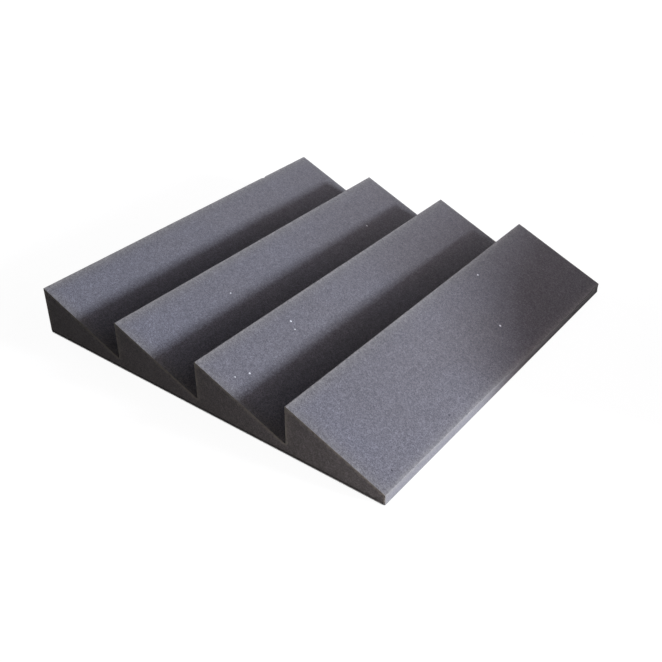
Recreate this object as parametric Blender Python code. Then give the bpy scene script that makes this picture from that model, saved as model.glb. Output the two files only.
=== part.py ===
"""Acoustic foam panel: a square tile cut from one slab of open-cell foam, with saw-tooth ridges.

The origin is the centre of the flat back face, which is glued to a wall or a ceiling. +X runs
across the ridges towards the thin edge, +Y runs along them, and +Z points out to the crests.
"""

import math

import bmesh
import bpy
from mathutils import Matrix, Vector

# Driving dimensions, in metres
PANEL_SIDE = 0.600
PANEL_THICKNESS = 0.075
BASE_THICKNESS = 0.015
TOOTH_COUNT = 4
TOOTH_PITCH = PANEL_SIDE / TOOTH_COUNT

# Roundings that the knife leaves in soft foam, in metres
CREST_RADIUS = 0.0020
VALLEY_RADIUS = 0.0015
EDGE_RADIUS = 0.0012

# Flats along a quarter turn of a rounding
CORNER_STEPS = 6
END_STEPS = 4

# Foam finish
FOAM_COLOUR = (0.155, 0.152, 0.178, 1.0)
FOAM_ROUGHNESS = 1.0
SMOOTH_ANGLE = math.radians(40)


def clear_scene():
    for obj in list(bpy.data.objects):
        bpy.data.objects.remove(obj, do_unlink=True)


def sharp_crest_height():
    """Where a slope would meet its steep face, so that the rounded crest is at full thickness."""
    run = TOOTH_PITCH - CREST_RADIUS
    rise = PANEL_THICKNESS - CREST_RADIUS - BASE_THICKNESS
    slope = math.atan2(rise, run) + math.asin(CREST_RADIUS / math.hypot(run, rise))
    return BASE_THICKNESS + TOOTH_PITCH * math.tan(slope)


def saw_tooth_corners():
    """The sharp corners of the cross-section in X and Z, each with its radius, anticlockwise."""
    half = PANEL_SIDE / 2
    crest = sharp_crest_height()
    corners = [
        (Vector((-half, 0.0)), EDGE_RADIUS),
        (Vector((half, 0.0)), EDGE_RADIUS),
        (Vector((half, BASE_THICKNESS)), EDGE_RADIUS),
    ]
    for tooth in reversed(range(TOOTH_COUNT)):
        steep_face = tooth * TOOTH_PITCH - half
        corners.append((Vector((steep_face, crest)), CREST_RADIUS))
        if tooth > 0:
            corners.append((Vector((steep_face, BASE_THICKNESS)), VALLEY_RADIUS))
    return corners


def normal_into_foam(start, end):
    direction = (end - start).normalized()
    return Vector((-direction.y, direction.x))


def rounded_corner(before, corner, after, radius):
    """The arc that takes a corner's place, as (point, normal into the foam)."""
    normal_in = normal_into_foam(before, corner)
    normal_out = normal_into_foam(corner, after)
    cross = normal_in.x * normal_out.y - normal_in.y * normal_out.x
    dot = normal_in.dot(normal_out)
    turn = math.atan2(cross, dot)
    # A crest turns left, round a centre inside the foam, and a valley right, round one outside
    side = math.copysign(1, turn)
    centre = corner + side * radius / (1 + dot) * (normal_in + normal_out)
    steps = max(2, round(CORNER_STEPS * abs(turn) / math.radians(90)))
    arc = []
    for step in range(steps + 1):
        normal = Matrix.Rotation(turn * step / steps, 2) @ normal_in
        arc.append((centre - side * radius * normal, normal))
    return arc


def rounded_section():
    """The whole cross-section with its corners rounded, as (point, normal into the foam)."""
    corners = saw_tooth_corners()
    section = []
    for index, (corner, radius) in enumerate(corners):
        before = corners[index - 1][0]
        after = corners[(index + 1) % len(corners)][0]
        section += rounded_corner(before, corner, after, radius)
    return section


def section_places():
    """(place along Y, inset) of each section. The insets round the edges of both cut ends."""
    half = PANEL_SIDE / 2
    front_end = []
    for step in range(END_STEPS + 1):
        angle = math.radians(90) * step / END_STEPS
        behind_end = EDGE_RADIUS * (1 - math.cos(angle))
        inset = EDGE_RADIUS * (1 - math.sin(angle))
        front_end.append((behind_end - half, inset))
    back_end = [(-place, inset) for place, inset in reversed(front_end)]
    return front_end + back_end


def foam_mesh():
    """One closed solid: the saw-tooth section drawn out along the ridges."""
    section = rounded_section()
    bm = bmesh.new()
    rings = []
    for place, inset in section_places():
        points = [point + inset * normal for point, normal in section]
        rings.append([bm.verts.new((point.x, place, point.y)) for point in points])
    for ring, next_ring in zip(rings, rings[1:]):
        for index in range(len(section)):
            quad = (ring[index - 1], ring[index], next_ring[index], next_ring[index - 1])
            bm.faces.new(quad)
    bm.faces.new(reversed(rings[0]))
    bm.faces.new(rings[-1])
    bmesh.ops.recalc_face_normals(bm, faces=bm.faces)
    mesh = bpy.data.meshes.new("foam_panel")
    bm.to_mesh(mesh)
    bm.free()
    mesh.shade_smooth()
    mesh.set_sharp_from_angle(angle=SMOOTH_ANGLE)
    return mesh


def foam_material():
    material = bpy.data.materials.new("charcoal_foam")
    material.use_nodes = True
    shader = material.node_tree.nodes["Principled BSDF"]
    shader.inputs["Base Color"].default_value = FOAM_COLOUR
    shader.inputs["Roughness"].default_value = FOAM_ROUGHNESS
    return material


def add_foam_panel():
    panel = bpy.data.objects.new("foam_panel", foam_mesh())
    panel.data.materials.append(foam_material())
    bpy.context.scene.collection.objects.link(panel)


def main():
    clear_scene()
    add_foam_panel()


main()
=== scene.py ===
"""Acoustic foam tile: the looks of a square of charcoal open-cell foam with saw-tooth ridges.

The tile is one piece of foam, so one fine mesh stands for the plain solid of the frame. +X runs
across the ridges towards the thin edge, +Y along them, and +Z out of the flat back to the crests.
"""

import math
from typing import NamedTuple

import bpy
from bpy.props import BoolProperty, FloatProperty, FloatVectorProperty, IntProperty, PointerProperty
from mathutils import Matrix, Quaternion, Vector, geometry, noise


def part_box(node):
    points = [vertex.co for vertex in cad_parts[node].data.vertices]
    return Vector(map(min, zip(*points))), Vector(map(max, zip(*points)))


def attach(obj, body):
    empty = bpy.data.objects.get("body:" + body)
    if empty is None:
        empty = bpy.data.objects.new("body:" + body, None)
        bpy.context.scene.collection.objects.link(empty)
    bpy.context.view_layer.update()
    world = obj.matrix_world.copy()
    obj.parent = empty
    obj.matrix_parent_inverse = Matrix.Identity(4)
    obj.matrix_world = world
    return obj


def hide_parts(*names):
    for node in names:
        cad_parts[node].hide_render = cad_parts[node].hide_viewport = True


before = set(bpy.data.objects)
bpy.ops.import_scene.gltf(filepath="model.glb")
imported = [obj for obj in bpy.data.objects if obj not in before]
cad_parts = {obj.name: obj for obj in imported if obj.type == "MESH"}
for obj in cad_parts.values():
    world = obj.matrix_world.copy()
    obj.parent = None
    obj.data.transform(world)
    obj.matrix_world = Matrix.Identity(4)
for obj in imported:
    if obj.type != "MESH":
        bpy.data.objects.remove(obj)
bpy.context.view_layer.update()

bl_info = {
    "name": "Acoustic Foam Tile",
    "version": (1, 0, 0),
    "blender": (4, 5, 0),
    "location": "3D View > Sidebar > Foam Tile",
    "description": "Makes a saw-tooth tile of charcoal foam and a white table to show it on",
    "category": "Add Mesh",
}

# What the frame fixes: the solid that the tile stands for, and its body
SOLID = "foam_panel"
BODY = "root"
LOW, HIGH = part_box(SOLID)


# Sizes and colours that a user would change

class TileShape(bpy.types.PropertyGroup):
    """The saw-tooth section and how closely the mesh follows the foam's surface."""

    teeth: IntProperty(
        name="Teeth", description="Ridges across the tile", default=4, min=1, max=12)
    base: FloatProperty(
        name="Base", description="Foam left under the valleys, and height of the thin edge",
        default=0.015, min=0.002, soft_max=0.05, unit="LENGTH", precision=4)
    crest_radius: FloatProperty(
        name="Crest Radius", description="How round the knife leaves a crest",
        default=0.0018, min=0.0002, soft_max=0.01, unit="LENGTH", precision=4)
    valley_radius: FloatProperty(
        name="Valley Radius", description="How round the knife leaves a valley",
        default=0.0015, min=0.0002, soft_max=0.01, unit="LENGTH", precision=4)
    edge_radius: FloatProperty(
        name="Edge Radius", description="How round the top and the foot of the thin edge are",
        default=0.0012, min=0.0002, soft_max=0.01, unit="LENGTH", precision=4)
    end_radius: FloatProperty(
        name="End Radius", description="How round the rims of the two cut ends are",
        default=0.0009, min=0.0002, soft_max=0.01, unit="LENGTH", precision=4)
    corner_radius: FloatProperty(
        name="Corner Radius", description="How round the two ends of the thin edge are",
        default=0.0024, min=0.0002, soft_max=0.01, unit="LENGTH", precision=4)
    foot_radius: FloatProperty(
        name="Foot Radius", description="How far the foam rolls in where it meets the table",
        default=0.0020, min=0.0002, soft_max=0.01, unit="LENGTH", precision=4)
    spacing: FloatProperty(
        name="Spacing", description="Distance between mesh points on an open face",
        default=0.0032, min=0.001, soft_max=0.02, unit="LENGTH", precision=4)
    relief: FloatProperty(
        name="Relief", description="Depth of the rough surface that torn cells leave",
        default=0.00022, min=0.0, soft_max=0.002, unit="LENGTH", precision=5)
    drift: FloatProperty(
        name="Drift", description="How far a face wanders from flat where the blade drifted",
        default=0.0004, min=0.0, soft_max=0.003, unit="LENGTH", precision=5)


class FoamFinish(bpy.types.PropertyGroup):
    """Colours and grain of the foam."""

    foam: FloatVectorProperty(
        name="Foam", description="Colour of the cut foam", subtype="COLOR",
        default=(0.178, 0.178, 0.212), min=0.0, max=1.0)
    # The warmer colour is blended in by place, towards the back end and towards the thin edge
    foam_warm: FloatVectorProperty(
        name="Warmer Foam", description="Colour towards the back end, where the dye took less",
        subtype="COLOR", default=(0.184, 0.174, 0.186), min=0.0, max=1.0)
    foam_worn: FloatVectorProperty(
        name="Worn Foam", description="Colour of the handled foam along crests and ends",
        subtype="COLOR", default=(0.186, 0.178, 0.182), min=0.0, max=1.0)
    # Rims are pale loose struts and a painted highlight where crests and edges catch light
    rim: FloatVectorProperty(
        name="Rims", description="Colour of crests and edges, where loose struts catch light",
        subtype="COLOR", default=(0.308, 0.296, 0.283), min=0.0, max=1.0)
    # Painted highlight: the paler colour of the thin edge, which faces the low lamp
    thin_edge_highlight: FloatVectorProperty(
        name="Sawn Edge", description="Colour of the cell walls on the thin edge, sawn across",
        subtype="COLOR", default=(0.305, 0.295, 0.302), min=0.0, max=1.0)
    pore: FloatVectorProperty(
        name="Pores", description="Colour inside an open cell", subtype="COLOR",
        default=(0.080, 0.077, 0.091), min=0.0, max=1.0)
    # Colour of the few pale specks on the foam
    pale_speck: FloatVectorProperty(
        name="Crumbs", description="Colour of the few pale crumbs on the foam",
        subtype="COLOR", default=(0.78, 0.78, 0.80), min=0.0, max=1.0)
    cell: FloatProperty(
        name="Cell", description="Width of one foam cell", default=0.0015, min=0.0002,
        soft_max=0.01, unit="LENGTH", precision=4)
    sheen: FloatProperty(
        name="Sheen", description="Soft light that the struts give back at the rim of the view",
        default=0.25, min=0.0, max=1.0, subtype="FACTOR")
    # Puts a few pale specks and dark pits on the foam
    spots: BoolProperty(
        name="Show Spots", description="Put a few pale crumbs and dark pits on the foam",
        default=True)


class TableLook(bpy.types.PropertyGroup):
    """The white table, the lamps and the camera."""

    key: FloatProperty(
        name="Key", description="Light that the low lamp throws on a card facing it",
        default=1.275, min=0.0, soft_max=5.0)
    key_colour: FloatVectorProperty(
        name="Key Colour", description="Colour of the low lamp", subtype="COLOR",
        default=(0.92, 1.0, 1.12), min=0.0, soft_max=2.0)
    window_colour: FloatVectorProperty(
        name="Window Colour", description="Colour of the broad lamp beside the low one",
        subtype="COLOR", default=(1.13, 1.0, 1.06), min=0.0, soft_max=2.0)
    fill_colour: FloatVectorProperty(
        name="Fill Colour", description="Colour of the high lamp, and of the low ones behind and "
        "at the tall edge", subtype="COLOR", default=(1.04, 1.0, 1.07), min=0.0, soft_max=2.0)
    front_colour: FloatVectorProperty(
        name="Front Colour", description="Colour of the three lamps in front", subtype="COLOR",
        default=(1.11, 1.0, 0.93), min=0.0, soft_max=2.0)
    window: FloatProperty(
        name="Window", description="Broad light beside the low lamp, on a card that faces it",
        default=0.28, min=0.0, soft_max=2.0)
    high: FloatProperty(
        name="High", description="Broad light from high at the back right, on a card facing it",
        default=0.13, min=0.0, soft_max=2.0)
    back_low: FloatProperty(
        name="Low Back", description="Soft light from low behind, on a card that faces it",
        default=0.265, min=0.0, soft_max=2.0)
    front: FloatProperty(
        name="Front", description="Weak low light from the front, on a card that faces it",
        default=0.077, min=0.0, soft_max=2.0)
    front_near: FloatProperty(
        name="Near Front", description="Weak light close by at the front right, on a card there",
        default=0.024, min=0.0, soft_max=2.0)
    front_corner: FloatProperty(
        name="Front Corner", description="Weak light beside the front end of the thin edge, on a "
        "card there", default=0.02, min=0.0, soft_max=2.0)
    side: FloatProperty(
        name="Side", description="Low light on the tall edge, which only the steep faces catch",
        default=0.26, min=0.0, soft_max=2.0)
    room: FloatProperty(
        name="Room", description="Light that comes evenly from the whole room",
        default=0.01, min=0.0, soft_max=2.0)
    lens: FloatProperty(
        name="Lens",
        description="Focal length of the camera on a 36 mm wide sensor, in millimetres",
        default=49.79, min=10.0, soft_max=200.0)


# The outline of the tile

def sharp_crest(pitch, thickness, base, radius):
    """Height where a slope would meet its steep face, so that the rounded crest is at full height."""
    run = pitch - radius
    rise = thickness - radius - base
    slope = math.atan2(rise, run) + math.asin(radius / math.hypot(run, rise))
    return base + pitch * math.tan(slope)


# A rim is the pale line along an edge: loose struts, and a painted highlight where the edge catches
# light. A crest has the rim 1.
THIN_EDGE_RIM = 1.15
# Where a slope or a steep face meets a cut end: the rim on the face, and the one on the end
SLOPE_RIMS = (0.35, 2.0)
STEEP_RIMS = (1.0, 2.0)
# The rounding between the two adds this much more painted highlight
ARC_RIM = 0.7
# How worn the cut ends are, against a crest
END_WEAR = 0.6


class Corner(NamedTuple):
    """A sharp corner of the section as (x, z), and what becomes of it."""

    place: Vector
    radius: float
    rim: float = 0.0
    wear: float = 0.0


class Surface(NamedTuple):
    """A point of the section: its (x, z) place and normal, its pale rim and its wear."""

    place: Vector
    normal: Vector
    rim: float
    wear: float


def saw_tooth_corners(shape):
    """Sharp corners of the section, anticlockwise from the foot of the tall edge."""
    pitch = (HIGH.x - LOW.x) / shape.teeth
    crest = LOW.z + sharp_crest(pitch, HIGH.z - LOW.z, shape.base, shape.crest_radius)
    valley = LOW.z + shape.base
    corners = [
        Corner(Vector((LOW.x, LOW.z)), shape.foot_radius),
        Corner(Vector((HIGH.x, LOW.z)), shape.edge_radius),
        Corner(Vector((HIGH.x, valley)), shape.edge_radius, THIN_EDGE_RIM),
    ]
    for tooth in reversed(range(shape.teeth)):
        steep_face = LOW.x + tooth * pitch
        corners.append(Corner(Vector((steep_face, crest)), shape.crest_radius, 1.0, 1.0))
        if tooth > 0:
            corners.append(Corner(Vector((steep_face, valley)), shape.valley_radius))
    return corners


def normal_out(start, end):
    direction = (end - start).normalized()
    return Vector((direction.y, -direction.x))


# Widest angle between two points of an arc
ARC_STEP = math.radians(18)


def rounded_corner(before, corner, after, radius):
    """The arc in place of a corner, as (place, normal out of the foam)."""
    normal_in = normal_out(before, corner)
    normal_after = normal_out(corner, after)
    cross = normal_in.x * normal_after.y - normal_in.y * normal_after.x
    dot = normal_in.dot(normal_after)
    turn = math.atan2(cross, dot)
    side = math.copysign(1, turn)
    centre = corner - side * radius / (1 + dot) * (normal_in + normal_after)
    steps = max(2, round(abs(turn) / ARC_STEP))
    arc = []
    for step in range(steps + 1):
        angle = turn * step / steps
        normal = Vector((
            normal_in.x * math.cos(angle) - normal_in.y * math.sin(angle),
            normal_in.x * math.sin(angle) + normal_in.y * math.cos(angle),
        ))
        arc.append((centre + side * radius * normal, normal))
    return arc


# Points start this close to a corner, and the steps between them grow by this factor. The last
# step before the middle has room for this many.
FIRST_STEP = 0.0007
STEP_GROWTH = 1.35
ROOM_AT_MIDDLE = 1.5


def places_between(length, widest):
    """Distances along a run between two corners: close together beside each, wider in between."""
    near = []
    reach = 0.0
    step = min(FIRST_STEP, widest)
    while reach + ROOM_AT_MIDDLE * step < length / 2:
        reach += step
        near.append(reach)
        step = min(step * STEP_GROWTH, widest)
    return near + [length / 2] + [length - place for place in reversed(near)]


# Reach and share of the rim's two parts, both with painted highlight: loose struts at the edge, and a
# fade from it
RIM_PARTS = ((0.0024, 0.62), (0.0080, 0.38))
# Handling takes the blue out of the dye this far from a crest or an end
WEAR_REACH = 0.0125


def rim_beside(distance):
    return sum(share * math.exp(-(distance / reach) ** 2) for reach, share in RIM_PARTS)


def wear_beside(distance):
    return math.exp(-(distance / WEAR_REACH) ** 2)


# The flat back lies on the table, so its points are this many times wider apart
BACK_SPACING = 4


def tile_section(shape):
    """The whole section as a list of Surface points, closed and anticlockwise."""
    corners = saw_tooth_corners(shape)
    arcs = []
    for index, corner in enumerate(corners):
        before = corners[index - 1].place
        after = corners[(index + 1) % len(corners)].place
        arcs.append(rounded_corner(before, corner.place, after, corner.radius))
    section = []
    for index, (corner, arc) in enumerate(zip(corners, arcs)):
        following = (index + 1) % len(corners)
        section += [Surface(place, normal, corner.rim, corner.wear) for place, normal in arc]
        start, normal = arc[-1]
        end = arcs[following][0][0]
        length = (end - start).length
        on_back = normal.y < -0.5
        widest = BACK_SPACING * shape.spacing if on_back else shape.spacing
        for past in places_between(length, widest):
            left = length - past
            rim = max(corner.rim * rim_beside(past), corners[following].rim * rim_beside(left))
            wear = max(corner.wear * wear_beside(past), corners[following].wear * wear_beside(left))
            section.append(Surface(start.lerp(end, past / length), normal, rim, wear))
    return section


class Station(NamedTuple):
    """A ring of the tile. Turn goes from 0 on a cut end, at the side -1 or 1, to a right angle on
    the faces along the ridges."""

    y: float
    turn: float
    side: int
    face_rim: float
    end_rim: float
    wear: float
    inset: float = 0.0


def end_rim(normal, station):
    """Rim that a ring adds on the face with this normal (x, z). The back has none."""
    on_back = normal.y < -0.1
    if on_back:
        return 0.0
    on_steep_face = normal.x < -0.5
    on_face, on_end = STEEP_RIMS if on_steep_face else SLOPE_RIMS
    return station.face_rim * on_face + station.end_rim * on_end


# Steps of the rounding between the faces and a cut end
END_STEPS = 4
# A last ring lies flat on a cut end, so that its rounding doesn't shade the face beside it
FLAT_RING = 0.0002


def stations(shape):
    """The rings of the tile from the front end to the back one."""
    turns = [math.radians(90) * step / END_STEPS for step in range(END_STEPS + 1)]
    front = []
    back = []
    for turn in turns:
        arc = ARC_RIM * math.sin(2 * turn)
        rims = (math.sin(turn) + arc, math.cos(turn) + arc)
        front.append(Station(LOW.y, turn, -1, *rims, END_WEAR))
        back.append(Station(HIGH.y, turn, 1, *rims, END_WEAR))
    front.insert(0, front[0]._replace(inset=FLAT_RING))
    back.insert(0, back[0]._replace(inset=FLAT_RING))
    rounded = max(shape.foot_radius, shape.corner_radius)
    straight = HIGH.y - LOW.y - 2 * rounded
    along = []
    for past in places_between(straight, shape.spacing):
        nearest = min(past, straight - past)
        y = LOW.y + rounded + past
        wear = END_WEAR * wear_beside(nearest)
        along.append(Station(y, turns[-1], 0, rim_beside(nearest), 0.0, wear))
    return front + along + back[::-1]


# How fast the foot of a cut end grows rounder, away from the thin edge
FOOT_TAPER = 0.03


def ring_point(surface, station, shape):
    """Where a point of the section lies on a ring, and its normal. The foot and the thin edge are
    rounder at the cut ends than the other faces."""
    normal = surface.normal
    edge = shape.edge_radius
    from_thin_edge = max(0.0, HIGH.x - edge - surface.place.x)
    foot = min(shape.foot_radius, edge + FOOT_TAPER * from_thin_edge)
    radius = shape.end_radius + (foot - shape.end_radius) * max(0.0, -normal.y)
    on_thin_edge = normal.x > 0.99
    if on_thin_edge:
        height = (surface.place.y - LOW.z - edge) / (shape.base - 2 * edge)
        bulge = math.sin(math.pi * min(max(height, 0.0), 1.0))
        radius += (shape.corner_radius - shape.end_radius) * bulge
    along = math.sin(station.turn)
    towards_end = math.cos(station.turn)
    inner = surface.place - (radius * (1 - along) + station.inset) * normal
    point = Vector((inner.x, station.y - station.side * radius * (1 - towards_end), inner.y))
    return point, Vector((normal.x * along, station.side * towards_end, normal.y * along))


# The surface of cut foam

# The waves of the drifting blade and of the torn cells, each as (length, share)
DRIFT_WAVES = ((0.11, 0.7), (0.045, 0.3))
RELIEF_WAVES = ((0.0065, 0.4), (0.0031, 0.6))
# Sets the torn cells apart from the drift
RELIEF_OFFSET = Vector((7.3, 1.9, 4.1))


def wave_height(point, waves, offset=Vector((0.0, 0.0, 0.0))):
    """Noise between 0 and 1 over the listed waves."""
    height = 0.0
    for length, share in waves:
        height += share * (0.5 + 0.5 * noise.noise(point / length + offset))
    return height


def cut_depth(point, shape):
    """How far below the ideal face the foam lies here: slow drift of the blade and torn cells."""
    slow = wave_height(point, DRIFT_WAVES)
    fine = wave_height(point, RELIEF_WAVES, RELIEF_OFFSET)
    return shape.drift * slow + shape.relief * fine


# A small tear in the first crest: its place as (x, y), its half length and its depth
NICK = Vector((LOW.x, 0.185))
NICK_HALF_LENGTH = 0.0028
NICK_DEPTH = 0.0022


def nick_depth(point):
    below_crest = HIGH.z - point.z
    across = point.x - NICK.x
    along = point.y - NICK.y
    reach = (along / NICK_HALF_LENGTH) ** 2 + (across / NICK_HALF_LENGTH) ** 2
    reach += (below_crest / NICK_HALF_LENGTH) ** 2
    return NICK_DEPTH * math.exp(-reach)


def cut_surface(point, normal, shape):
    """The point as the knife leaves it. The flat back stays flat, so that the tile lies on it."""
    depth = cut_depth(point, shape) * min(1.0, 1.0 + normal.z)
    return point - normal * depth - Vector((0.0, 0.0, nick_depth(point)))


# The mesh of the tile

# The points inside a cut end: how far apart they are against the mesh spacing, and how much of
# that is left free beside the outline, and below a slope
LATTICE_SPACING = 1.4
LATTICE_MARGIN = 0.7
SLOPE_MARGIN = 1.2
ROW_PITCH = math.sin(math.radians(60))


def end_lattice(shape):
    """Points inside the outline of a cut end, in rows that alternate like bricks."""
    spacing = LATTICE_SPACING * shape.spacing
    margin = LATTICE_MARGIN * spacing
    pitch = (HIGH.x - LOW.x) / shape.teeth
    fall = (HIGH.z - LOW.z - shape.base) / pitch
    points = []
    row = 0
    z = LOW.z + margin
    while z < HIGH.z:
        x = LOW.x + margin + (0.5 * spacing if row % 2 else 0.0)
        while x < HIGH.x - margin:
            past_steep_face = (x - LOW.x) % pitch
            top = HIGH.z - fall * past_steep_face - SLOPE_MARGIN * margin
            beside_face = z > LOW.z + shape.base - margin and past_steep_face < margin
            if z < top and not beside_face:
                points.append(Vector((x, z)))
            x += spacing
        z += spacing * ROW_PITCH
        row += 1
    return points


# For Blender's triangulation: keep what lies inside the outline, and join points this close
INSIDE_OUTLINE = 1
SAME_PLACE = 1e-7


def close_end(outline, station, ring_start, new_start, shape):
    """Vertices, rims and triangles that close one end. The outline is its last ring in (x, z),
    whose vertices are numbered from ring_start. The new ones are numbered from new_start."""
    flat, _, triangles, sources, _, _ = geometry.delaunay_2d_cdt(
        outline + end_lattice(shape), [], [list(range(len(outline)))], INSIDE_OUTLINE, SAME_PLACE)
    normal = Vector((0.0, station.side, 0.0))
    pitch = (HIGH.x - LOW.x) / shape.teeth
    vertices = []
    rims = []
    numbers = []
    for place, source in zip(flat, sources):
        if source and source[0] < len(outline):
            numbers.append(ring_start + source[0])
        else:
            numbers.append(new_start + len(vertices))
            vertices.append(cut_surface(Vector((place.x, station.y, place.y)), normal, shape))
            past_steep_face = (place.x - LOW.x) % pitch
            beside_steep_face = place.y > LOW.z + shape.base or place.x < LOW.x + pitch
            rims.append(STEEP_RIMS[1] * rim_beside(past_steep_face) if beside_steep_face else 0.0)
    faces = [[numbers[corner] for corner in triangle] for triangle in triangles]
    if station.side > 0:
        faces = [face[::-1] for face in faces]
    return vertices, rims, faces


def tile_mesh(shape):
    """One closed skin of foam: rings of the section along the ridges, and a lattice at each end."""
    section = tile_section(shape)
    rings = stations(shape)
    count = len(section)
    vertices = []
    rims = []
    wears = []
    for station in rings:
        for surface in section:
            vertices.append(cut_surface(*ring_point(surface, station, shape), shape))
            rims.append(max(surface.rim, end_rim(surface.normal, station)))
            wears.append(max(surface.wear, station.wear))
    faces = []
    for ring in range(len(rings) - 1):
        here = ring * count
        ahead = here + count
        for index in range(count):
            after = (index + 1) % count
            faces.append((here + index, ahead + index, ahead + after, here + after))
    for ring in (0, len(rings) - 1):
        points = [ring_point(surface, rings[ring], shape)[0] for surface in section]
        outline = [Vector((point.x, point.z)) for point in points]
        added, added_rims, triangles = close_end(
            outline, rings[ring], ring * count, len(vertices), shape)
        vertices += added
        rims += added_rims
        wears += [END_WEAR] * len(added)
        faces += triangles
    mesh = bpy.data.meshes.new("foam_tile")
    mesh.from_pydata(vertices, [], faces)
    mesh.validate()
    mesh.shade_smooth()
    mesh.attributes.new("rim", "FLOAT", "POINT").data.foreach_set("value", rims)
    mesh.attributes.new("wear", "FLOAT", "POINT").data.foreach_set("value", wears)
    return mesh


# Materials

class NodeBench:
    """Adds shader nodes to one material, each with its settings and what goes into its sockets."""

    def __init__(self, material):
        material.use_nodes = True
        self.nodes = material.node_tree.nodes
        self.links = material.node_tree.links
        self.nodes.clear()

    def add(self, kind, inputs=None, **settings):
        node = self.nodes.new("ShaderNode" + kind)
        for name, value in settings.items():
            setattr(node, name, value)
        for name, value in (inputs or {}).items():
            if isinstance(value, bpy.types.NodeSocket):
                self.links.new(value, node.inputs[name])
            else:
                node.inputs[name].default_value = value
        return node

    def math(self, operation, first, second=0.0, third=0.0):
        inputs = {0: first, 1: second, 2: third}
        return self.add("Math", inputs, operation=operation).outputs[0]

    def spread(self, value, low, high, to_low=0.0, to_high=1.0):
        inputs = {"Value": value, "From Min": low, "From Max": high,
                  "To Min": to_low, "To Max": to_high}
        return self.add("MapRange", inputs, clamp=True).outputs["Result"]

    def blend(self, share, first, second):
        inputs = {0: share, 6: first, 7: second}
        return self.add("Mix", inputs, data_type="RGBA").outputs[2]

    def cloud(self, place, size, detail=2.0):
        inputs = {"Vector": place, "Scale": 1.0 / size, "Detail": detail, "Roughness": 0.6}
        return self.add("TexNoise", inputs).outputs["Fac"]


def solid(colour):
    return (colour[0], colour[1], colour[2], 1.0)


# Pale specks and dark pits on the slopes, each as (x, y, radius)
PALE_SPECKS = (
    (-0.099, -0.123, 0.0011), (-0.075, 0.190, 0.0014), (0.041, -0.145, 0.0009),
    (0.0285, -0.1385, 0.0014), (0.047, -0.274, 0.0009), (0.054, -0.254, 0.0013),
    (0.173, 0.127, 0.0013), (0.247, 0.067, 0.0016),
)
PITS = ((0.285, -0.135, 0.0016), (0.285, -0.265, 0.0013))
# They lie above this height over the back, and so only on the face
SPOTS_ABOVE = 0.001


def spots(bench, place, listed):
    """1 inside the listed round spots, seen from above."""
    flat = bench.add("VectorMath", {0: place, 1: (1.0, 1.0, 0.0)}, operation="MULTIPLY").outputs[0]
    height = bench.add("SeparateXYZ", {0: place}).outputs["Z"]
    inside = 0.0
    for x, y, radius in listed:
        away = bench.add("VectorMath", {0: flat, 1: (x, y, 0.0)}, operation="DISTANCE")
        near = bench.math("LESS_THAN", away.outputs["Value"], radius)
        inside = bench.math("MAXIMUM", inside, near)
    on_face = bench.math("GREATER_THAN", height, LOW.z + SPOTS_ABOVE)
    return bench.math("MULTIPLY", inside, on_face)


# A strut starts and is full this far from the middle of a cell, in cell widths
STRUT = (0.12, 0.62)
# Widths of the grain, in cells, and of the dye's patches and mottling
GRAIN_WIDTH = 2.4
PATCH_WIDTH = 0.14
MOTTLE_WIDTH = 0.016
# What each noise gives, as its low and high value and the result at these
PATCHES = (0.35, 0.65, 0.0, 0.3)
MOTTLE = (0.3, 0.7, 0.94, 1.06)
GRAIN = (0.3, 0.7, 0.77, 1.27)
RIM_GRAIN = (0.3, 0.65, 0.14, 0.66)
# Share of the warmer colour at the back end, and at the thin edge
WARM_AT_BACK = 0.75
WARM_AT_THIN_EDGE = 0.3
# Painted light: the foam is lighter at the front end and darker at the back one, for light that falls
# off towards the back
PAINTED_LIGHT_ALONG = (1.09, 0.875)
# Painted highlight: the thin edge, which faces the low lamp, is made paler. It is known by the X of
# its normal.
EDGE_HIGHLIGHT_SHARE = 0.45
THIN_EDGE_FACING = (0.75, 0.95)
# Painted shade along the foot, where the tile meets the table: it darkens the foot up to this height,
# and fully up to a share of that. Within the fade from the thin edge it grows lighter, up to the last
# value.
FOOT_SHADE = 0.10
FOOT_HEIGHT = 0.0048
FOOT_FULL = 0.2
FOOT_FADE = 0.07
FOOT_AT_THIN_EDGE = 0.8
# The same painted shade for the foot of the thin edge, which darkens between these two places along
# it
THIN_FOOT_SHADE = 0.35
THIN_FOOT_HEIGHT = 0.0095
THIN_FOOT_FROM = 0.02
THIN_FOOT_TO = 0.14
# Height of the grain against the struts, and strength and depth of the relief they give
GRAIN_HEIGHT = 1.2
BUMP_STRENGTH = 0.3
BUMP_DEPTH = 0.0005
# Roughness inside a cell and on a strut
ROUGHNESS = (1.0, 0.86)


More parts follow.
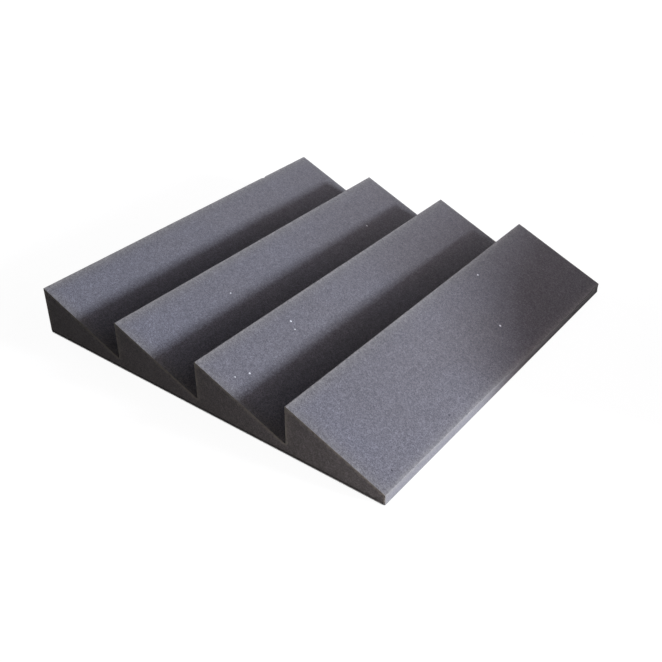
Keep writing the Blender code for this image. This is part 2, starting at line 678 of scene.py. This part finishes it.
def foam_material(finish):
    """Charcoal foam: open cells between struts, cloudy dye, worn edges with pale rims, and painted
    light:
    highlights on the rims and the thin edge, shade along the foot, more light at the front end.
    """
    material = bpy.data.materials.new("charcoal foam")
    bench = NodeBench(material)
    coordinates = bench.add("TexCoord").outputs
    place = coordinates["Object"]
    spot = bench.add("SeparateXYZ", {0: place}).outputs
    # Open cells: dark in the middle, paler where the struts stand up
    cells = bench.add("TexVoronoi", {"Vector": place, "Scale": 1.0 / finish.cell,
                                     "Randomness": 1.0})
    strut = bench.spread(cells.outputs["Distance"], *STRUT)
    grain = bench.cloud(place, GRAIN_WIDTH * finish.cell, 3.0)
    # Dye in patches as wide as a hand, with mottling as wide as a finger. The colour turns warmer
    # towards the back and the thin edge, and painted light makes it lighter at the front end and
    # darker at the back
    patches = bench.spread(bench.cloud(place, PATCH_WIDTH), *PATCHES)
    warmth = bench.spread(spot["Y"], LOW.y, HIGH.y, 0.0, WARM_AT_BACK)
    across = bench.spread(spot["X"], LOW.x, HIGH.x, 0.0, WARM_AT_THIN_EDGE)
    warmth = bench.math("ADD", warmth, across)
    dyed = bench.blend(bench.math("ADD", patches, warmth), solid(finish.foam),
                       solid(finish.foam_warm))
    wear = bench.add("Attribute", attribute_name="wear").outputs["Fac"]
    dyed = bench.blend(wear, dyed, solid(finish.foam_worn))
    mottle = bench.spread(bench.cloud(place, MOTTLE_WIDTH), *MOTTLE)
    # Painted light: lighter at the front end and darker at the back one
    along = bench.spread(spot["Y"], LOW.y, HIGH.y, *PAINTED_LIGHT_ALONG)
    light = bench.math("MULTIPLY", mottle, bench.spread(grain, *GRAIN))
    light = bench.math("MULTIPLY", light, along)
    lit = bench.add("VectorMath", {0: dyed, 3: light}, operation="SCALE").outputs[0]
    colour = bench.blend(strut, solid(finish.pore), lit)
    # Rims, broken up by the grain: pale struts and a painted highlight along crests and edges
    rim = bench.add("Attribute", attribute_name="rim").outputs["Fac"]
    pale = bench.math("MULTIPLY", rim, bench.spread(grain, *RIM_GRAIN))
    # Painted highlight: the thin edge, which faces the low lamp, turns paler
    facing = bench.add("SeparateXYZ", {0: coordinates["Normal"]}).outputs["X"]
    thin_edge = bench.spread(facing, *THIN_EDGE_FACING)
    thin_edge_highlight = bench.math("MULTIPLY", thin_edge, EDGE_HIGHLIGHT_SHARE)
    colour = bench.blend(thin_edge_highlight, colour, solid(finish.thin_edge_highlight))
    colour = bench.blend(pale, colour, solid(finish.rim))
    # Painted shade: the foot is darker, but less beside the thin edge, and on that only towards the
    # back, out of the low lamp's light
    foot = bench.spread(spot["Z"], LOW.z + FOOT_FULL * FOOT_HEIGHT, LOW.z + FOOT_HEIGHT,
                        FOOT_SHADE, 1.0)
    beside = bench.spread(spot["X"], HIGH.x - FOOT_FADE, HIGH.x, 0.0, FOOT_AT_THIN_EDGE)
    foot = bench.math("MAXIMUM", foot, beside)
    foot = bench.math("MAXIMUM", foot, thin_edge)
    thin_foot = bench.spread(spot["Z"], LOW.z, LOW.z + THIN_FOOT_HEIGHT, THIN_FOOT_SHADE, 1.0)
    towards_front = bench.spread(spot["Y"], THIN_FOOT_FROM, THIN_FOOT_TO, 1.0, 0.0)
    thin_foot = bench.math("MAXIMUM", thin_foot, towards_front)
    foot = bench.math("MULTIPLY", foot, thin_foot)
    colour = bench.add("VectorMath", {0: colour, 3: foot}, operation="SCALE").outputs[0]
    if finish.spots:
        colour = bench.blend(spots(bench, place, PITS), colour, solid(finish.pore))
        colour = bench.blend(spots(bench, place, PALE_SPECKS), colour, solid(finish.pale_speck))
    height = bench.math("MULTIPLY_ADD", grain, GRAIN_HEIGHT, strut)
    bump = bench.add("Bump", {"Height": height, "Strength": BUMP_STRENGTH,
                              "Distance": BUMP_DEPTH})
    shader = bench.add("BsdfPrincipled", {
        "Base Color": colour,
        "Roughness": bench.spread(strut, 0.0, 1.0, *ROUGHNESS),
        "Specular IOR Level": 0.1,
        "Sheen Weight": finish.sheen,
        "Sheen Roughness": 0.5,
        "Normal": bump.outputs["Normal"],
    })
    bench.add("OutputMaterial", {"Surface": shader.outputs["BSDF"]})
    return material


def seen_directly(bench):
    """1 for what the camera sees, straight or in a mirror or through glass, and 0 for light."""
    path = bench.add("LightPath")
    sides = bench.math("MAXIMUM", path.outputs["Is Glossy Ray"],
                       path.outputs["Is Transmission Ray"])
    return bench.math("MAXIMUM", path.outputs["Is Camera Ray"], sides)


# The table's own white, and its colour where it is seen and where it throws light back
TABLE_GLOW = 0.955
TABLE_SEEN = (0.13, 0.13, 0.13, 1.0)
TABLE_BOUNCE = (0.08, 0.08, 0.08, 1.0)
# Painted contact shadow: it darkens this close to the tile, where it is as little open as these
# shares
CONTACT_REACH = 0.004
CONTACT_OPEN = (0.48, 0.70)
# Between these distances from the tile's middle it turns as white as the backdrop
WHITE_FROM = 0.55
WHITE_AT = 1.30


def table_material():
    """A white table that shows as white, keeps a faint shadow with a painted contact shadow along the
    tile's foot, and throws back a little light.
    """
    material = bpy.data.materials.new("white table")
    bench = NodeBench(material)
    seen = seen_directly(bench)
    # Painted contact shadow: the table's glow darkens where the tile closes it in
    openness = bench.add("AmbientOcclusion", {"Distance": CONTACT_REACH}, samples=8)
    contact = bench.spread(openness.outputs["AO"], *CONTACT_OPEN)
    place = bench.add("TexCoord").outputs["Object"]
    # The low lamp shines right up to the foot of the thin edge, so the painted contact shadow stops
    # there
    right = bench.add("SeparateXYZ", {0: place}).outputs["X"]
    contact = bench.math("MAXIMUM", contact, bench.spread(right, HIGH.x - 0.001, HIGH.x))
    away = bench.add("VectorMath", {0: place}, operation="LENGTH").outputs["Value"]
    white = bench.spread(away, WHITE_FROM, WHITE_AT, TABLE_GLOW, 1.0)
    glow = bench.math("MULTIPLY", contact, white)
    shine = bench.add("Emission", {"Strength": bench.math("MULTIPLY", glow, seen)})
    face = bench.add("BsdfDiffuse", {"Color": bench.blend(seen, TABLE_BOUNCE, TABLE_SEEN)})
    both = bench.add("AddShader", {0: face.outputs[0], 1: shine.outputs[0]})
    bench.add("OutputMaterial", {"Surface": both.outputs[0]})
    return material


def room_world(look):
    """White where the camera sees it, and an even weak light everywhere else."""
    world = bpy.data.worlds.new("room")
    bench = NodeBench(world)
    seen = seen_directly(bench)
    room = (look.room, look.room, look.room)
    colour = bench.blend(seen, solid(room), (1.0, 1.0, 1.0, 1.0))
    sky = bench.add("Background", {"Color": colour})
    bench.add("OutputWorld", {"Surface": sky.outputs[0]})
    bpy.context.scene.world = world


# The stage

TABLE_HALF_SIDE = 8.0
# The table lies just under the tile, so that the two don't flicker through each other
TABLE_GAP = 0.0002


class Lamp(NamedTuple):
    """A round lamp. Its name and colour are those of its level and its colour in the table's look."""

    name: str
    place: Vector
    width: float
    colour: str


# The direction of the low key lamp follows the shadows in the valleys
LAMPS = (
    Lamp("key", Vector((4.15, 1.15, 1.32)), 0.76, "key_colour"),
    Lamp("window", Vector((2.40, 0.20, 0.90)), 1.20, "window_colour"),
    Lamp("high", Vector((1.20, 0.90, 1.20)), 1.00, "fill_colour"),
    Lamp("back_low", Vector((0.00, 0.80, 0.30)), 0.50, "fill_colour"),
    Lamp("front", Vector((0.10, -1.20, 0.03)), 0.30, "front_colour"),
    Lamp("front_near", Vector((0.25, -0.62, 0.02)), 0.10, "front_colour"),
    Lamp("front_corner", Vector((0.32, -0.45, 0.02)), 0.08, "front_colour"),
    Lamp("side", Vector((-3.00, 0.30, 0.70)), 0.80, "fill_colour"),
)

# A dark board stands out of view at the right, and its soft shadow falls on the back of the last
# slope. Its outline as (y, z), from the table up and round.
SHADE_X = 0.75
SHADE_OUTLINE = ((0.09, 0.0), (0.09, 0.17), (0.29, 0.26), (0.50, 0.30), (1.30, 0.34), (1.30, 0.0))
SHADE_COLOUR = (0.02, 0.02, 0.02, 1.0)

# Camera, in metres, set by the corners of the tile in the photograph
CAMERA_PLACE = Vector((0.715, -0.951, 0.759))
CAMERA_AIM = Vector((0.067, -0.076, 0.030))
CAMERA_ROLL = math.radians(0.44)
CAMERA_SHIFT = -0.0136


def link(thing):
    bpy.context.scene.collection.objects.link(thing)
    return thing


def turn_towards(thing, target):
    return (target - thing.location).to_track_quat("-Z", "Y")


def add_table():
    half = TABLE_HALF_SIDE
    mesh = bpy.data.meshes.new("white_table")
    corners = [(-half, -half, 0), (half, -half, 0), (half, half, 0), (-half, half, 0)]
    mesh.from_pydata(corners, [], [(0, 1, 2, 3)])
    mesh.materials.append(table_material())
    table = link(bpy.data.objects.new("white_table", mesh))
    table.location.z = LOW.z - TABLE_GAP


def add_lamp(lamp, look):
    """A soft lamp aimed at the tile. Its level is the light on a card that faces it there."""
    middle = (LOW + HIGH) / 2
    level = getattr(look, lamp.name)
    data = bpy.data.lights.new(lamp.name, "AREA")
    data.shape = "DISK"
    data.size = lamp.width
    data.color = getattr(look, lamp.colour)
    data.energy = level * (math.pi * (lamp.place - middle).length) ** 2
    thing = link(bpy.data.objects.new(lamp.name, data))
    thing.location = lamp.place
    thing.rotation_mode = "QUATERNION"
    thing.rotation_quaternion = turn_towards(thing, middle)
    thing.visible_camera = False
    thing.visible_glossy = False


def add_shade():
    mesh = bpy.data.meshes.new("shade_board")
    corners = [(SHADE_X, y, LOW.z + z) for y, z in SHADE_OUTLINE]
    mesh.from_pydata(corners, [], [list(range(len(corners)))])
    material = bpy.data.materials.new("black board")
    bench = NodeBench(material)
    face = bench.add("BsdfDiffuse", {"Color": SHADE_COLOUR})
    bench.add("OutputMaterial", {"Surface": face.outputs[0]})
    mesh.materials.append(material)
    board = link(bpy.data.objects.new("shade_board", mesh))
    board.visible_camera = False


def add_camera(look):
    data = bpy.data.cameras.new("camera")
    data.lens = look.lens
    data.shift_x = CAMERA_SHIFT
    camera = link(bpy.data.objects.new("camera", data))
    camera.location = CAMERA_PLACE
    camera.rotation_mode = "QUATERNION"
    roll = Quaternion((0.0, 0.0, 1.0), CAMERA_ROLL)
    camera.rotation_quaternion = turn_towards(camera, CAMERA_AIM) @ roll
    bpy.context.scene.camera = camera


# Operators, panel and registration

class FOAM_OT_add_tile(bpy.types.Operator):
    """Make the foam tile in place of its plain solid"""

    bl_idname = "foam.add_tile"
    bl_label = "Foam Tile"

    def execute(self, context):
        scene = context.scene
        tile = link(bpy.data.objects.new("foam_tile", tile_mesh(scene.tile_shape)))
        tile.data.materials.append(foam_material(scene.foam_finish))
        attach(tile, BODY)
        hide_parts(SOLID)
        return {"FINISHED"}


class FOAM_OT_add_stage(bpy.types.Operator):
    """Set the white table, the lamps and the camera"""

    bl_idname = "foam.add_stage"
    bl_label = "Table, Lamps and Camera"

    def execute(self, context):
        look = context.scene.table_look
        context.scene.view_settings.view_transform = "Standard"
        add_table()
        room_world(look)
        add_shade()
        for lamp in LAMPS:
            add_lamp(lamp, look)
        add_camera(look)
        return {"FINISHED"}


class VIEW3D_PT_foam_tile(bpy.types.Panel):
    """Sizes, colours and the buttons that make each piece."""

    bl_label = "Foam Tile"
    bl_space_type = "VIEW_3D"
    bl_region_type = "UI"
    bl_category = "Foam Tile"

    def draw(self, context):
        scene = context.scene
        for title, group in (("Shape", scene.tile_shape), ("Foam", scene.foam_finish),
                             ("Table", scene.table_look)):
            column = self.layout.box().column()
            column.label(text=title)
            for name in group.bl_rna.properties.keys():
                if name not in ("rna_type", "name"):
                    column.prop(group, name)
        for operator in OPERATORS:
            self.layout.operator(operator.bl_idname)


GROUPS = {"tile_shape": TileShape, "foam_finish": FoamFinish, "table_look": TableLook}
OPERATORS = (FOAM_OT_add_tile, FOAM_OT_add_stage)
CLASSES = (*GROUPS.values(), *OPERATORS, VIEW3D_PT_foam_tile)


def register():
    for cls in CLASSES:
        bpy.utils.register_class(cls)
    for name, group in GROUPS.items():
        setattr(bpy.types.Scene, name, PointerProperty(type=group))


def unregister():
    for name in GROUPS:
        delattr(bpy.types.Scene, name)
    for cls in reversed(CLASSES):
        bpy.utils.unregister_class(cls)


def main():
    register()
    bpy.ops.foam.add_tile()
    bpy.ops.foam.add_stage()


if __name__ == "__main__":
    main()
